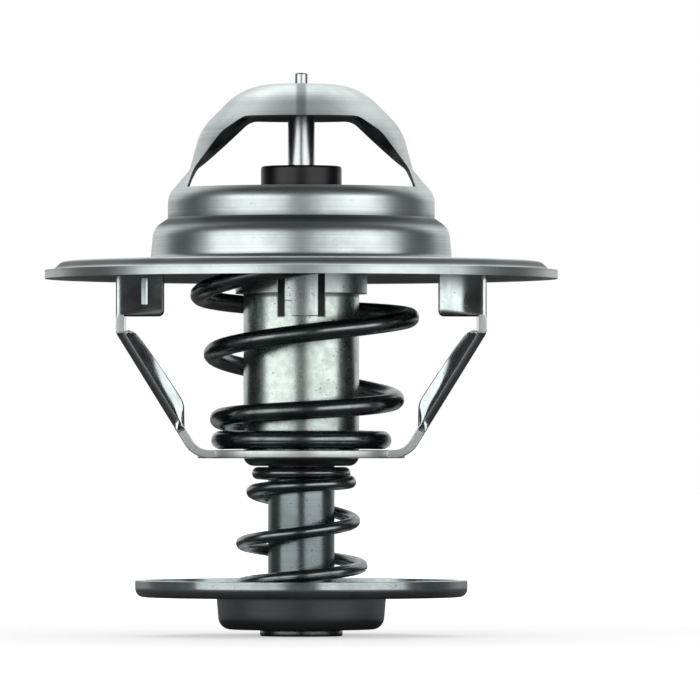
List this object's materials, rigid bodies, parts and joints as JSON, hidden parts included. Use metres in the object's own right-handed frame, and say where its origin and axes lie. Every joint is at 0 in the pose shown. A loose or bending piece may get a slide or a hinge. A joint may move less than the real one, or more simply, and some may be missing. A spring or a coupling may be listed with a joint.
{
  "type": "engine thermostat",
  "caption": "Wax-element coolant valve insert: a flange with a bridge, sprung main valve, lower frame and a sliding bypass disc.",
  "frame": {"origin": "on the axis, in the plane of the flange's underside, where the clamped lip seats", "axes": "+Z along the axis towards the bridge, +X through one leg of the lower frame, -Y towards the viewer of the picture"},
  "size_m": [0.054, 0.054, 0.0593],
  "materials": {
    "drawn_steel": "satin drawn stainless sheet",
    "spring_steel": "dark oiled spring wire",
    "pin_steel": "ground and polished",
    "capsule_brass": "tinned, finely mottled",
    "stem_steel": "turned, dark grey",
    "disc_steel": "pressed sheet, satin",
    "guide_brass": "turned brass",
    "black_rubber": "matt black rubber",
    "black_plastic": "moulded, matt",
    "white_plastic": "moulded, smooth",
    "wax": "dull wax with copper powder"
  },
  "bodies": {
    "fixed_housing": {"housing": "drawn_steel", "lower_frame": "drawn_steel", "piston_pin": "pin_steel", "main_spring": "spring_steel"},
    "wax_element": {"wax_capsule": "capsule_brass", "rubber_boot": "black_rubber", "wax_charge": "wax", "backing_ring": "white_plastic", "piston_guide": "guide_brass", "guide_cap": "black_plastic", "main_valve": "drawn_steel", "valve_seal": "black_rubber", "bypass_stem": "stem_steel", "bypass_spring": "spring_steel", "retainer": "stem_steel"},
    "bypass_valve": {"bypass_disc": "disc_steel"}
  },
  "joints": [
    {"name": "valve_lift", "type": "slide", "parent": "fixed_housing", "child": "wax_element", "axis": [0, 0, -1], "range_m": [0, 0.008], "stiffness_N_per_m": 500, "springref_m": -0.006, "deforming": ["main_spring"]},
    {"name": "bypass_slide", "type": "slide", "parent": "wax_element", "child": "bypass_valve", "axis": [0, 0, 1], "range_m": [0, 0.005], "stiffness_N_per_m": 100, "springref_m": -0.005, "deforming": ["bypass_spring"]}
  ]
}
